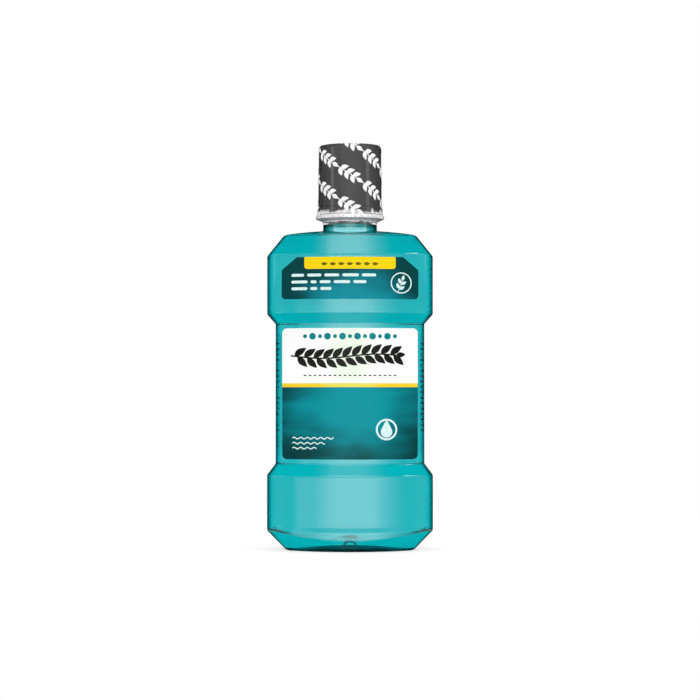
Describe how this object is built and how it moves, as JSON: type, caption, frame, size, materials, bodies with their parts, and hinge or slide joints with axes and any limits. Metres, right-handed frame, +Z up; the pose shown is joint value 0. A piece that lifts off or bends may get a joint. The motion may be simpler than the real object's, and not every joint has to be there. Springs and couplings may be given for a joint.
{
  "type": "mouthwash bottle",
  "caption": "Tall flat-faced bottle of tinted mouthwash with a recessed label panel, sloped shoulders, a round neck and a screw cap that serves as the dosing cup.",
  "frame": {"origin": "middle of the base, on the surface that the bottle stands on", "axes": "+Z up through the neck, +X to the right as the front label is read, -Y towards whoever reads the front label"},
  "size_m": [0.0878, 0.0603, 0.2138],
  "materials": {
    "clear_pet": "gloss",
    "teal_liquid": "gloss",
    "dark_grey_plastic": "satin",
    "natural_plastic": "satin",
    "clear_film": "gloss",
    "front_print": "gloss",
    "shoulder_print": "gloss",
    "back_print": "gloss"
  },
  "bodies": {
    "bottle_body": {"bottle": "clear_pet", "mouthwash": "teal_liquid", "front_label": "front_print", "shoulder_label": "shoulder_print", "back_label": "back_print"},
    "film_ring": {"neck_band": "clear_film"},
    "cap_body": {"cap_shell": "dark_grey_plastic", "thread_insert": "natural_plastic", "cap_sleeve": "clear_film"}
  },
  "joints": [
    {"name": "cap_turn", "type": "hinge", "parent": "bottle_body", "child": "film_ring", "pos_m": [0, 0, 0.189], "axis": [0, 0, 1], "range_deg": [0, 900]},
    {"name": "cap_rise", "type": "slide", "parent": "film_ring", "child": "cap_body", "axis": [0, 0, 1], "range_m": [0, 0.016]}
  ],
  "couplings": [
    {"joint": "cap_rise", "follows": "cap_turn", "m_per_rad": 0.0010106}
  ]
}
